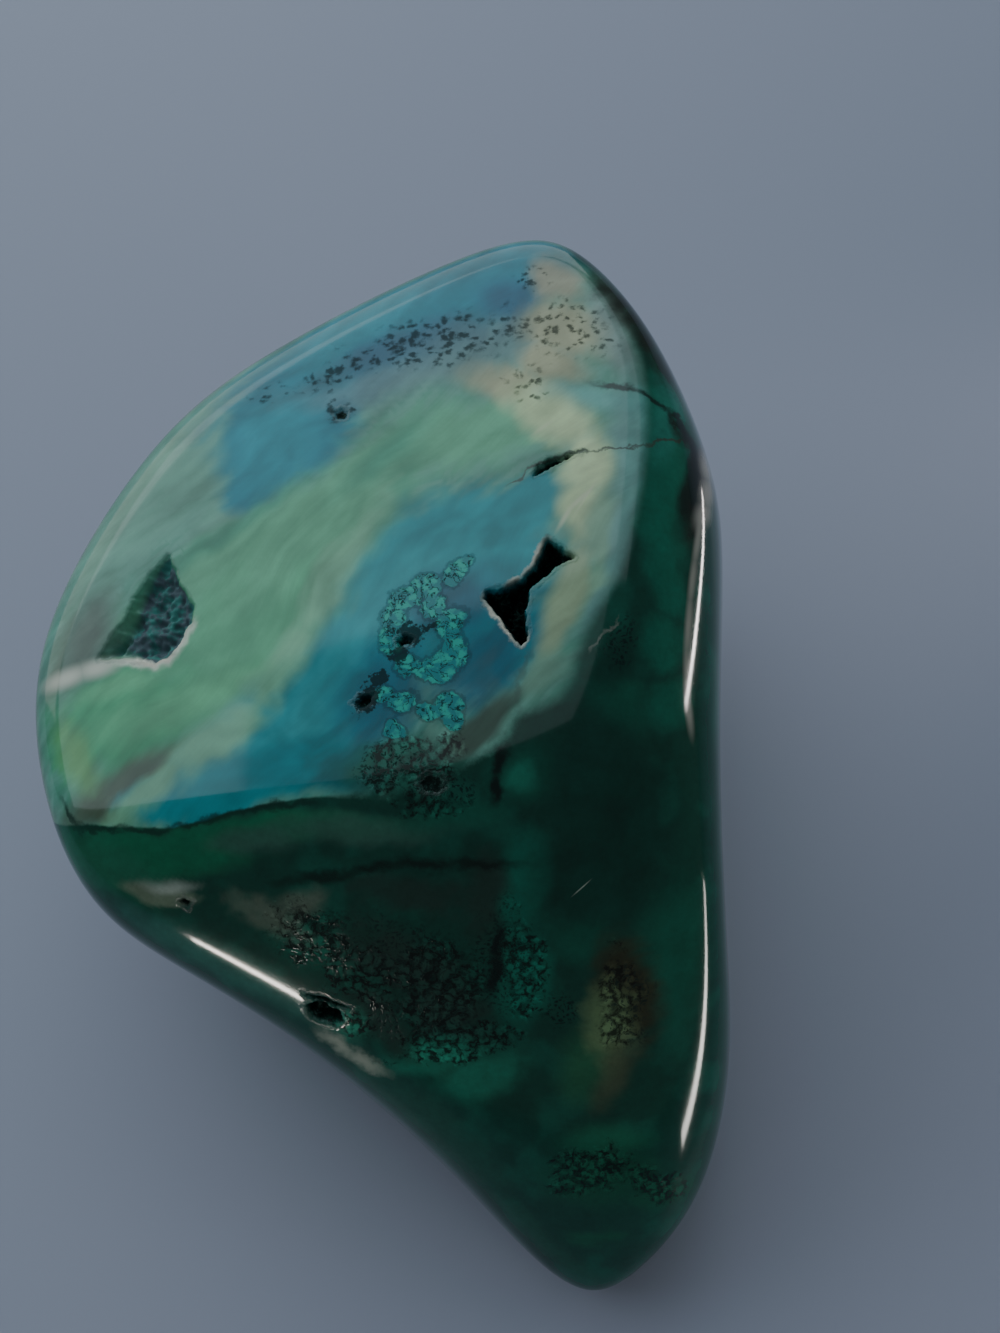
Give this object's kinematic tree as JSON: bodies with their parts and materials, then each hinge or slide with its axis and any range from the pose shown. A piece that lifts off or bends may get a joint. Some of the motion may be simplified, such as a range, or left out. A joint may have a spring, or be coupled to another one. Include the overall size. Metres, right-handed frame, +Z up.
{
  "type": "polished malachite stone",
  "caption": "Palm-size freeform of polished green malachite with soft ground faces, natural crystal hollows and a flat sawn base to rest on.",
  "frame": {"origin": "On the flat sawn base, straight below the heart of the stone.", "axes": "+Z is up from the flat base, +Y runs along the stone toward its broad back end, -Y toward its nose, +X to the right when it is seen from the nose."},
  "size_m": [0.0702, 0.1009, 0.0537],
  "materials": {
    "malachite_stone": "high polish, glassy, with rough pit linings"
  },
  "bodies": {
    "root": {"malachite_stone": "malachite_stone"}
  },
  "joints": []
}
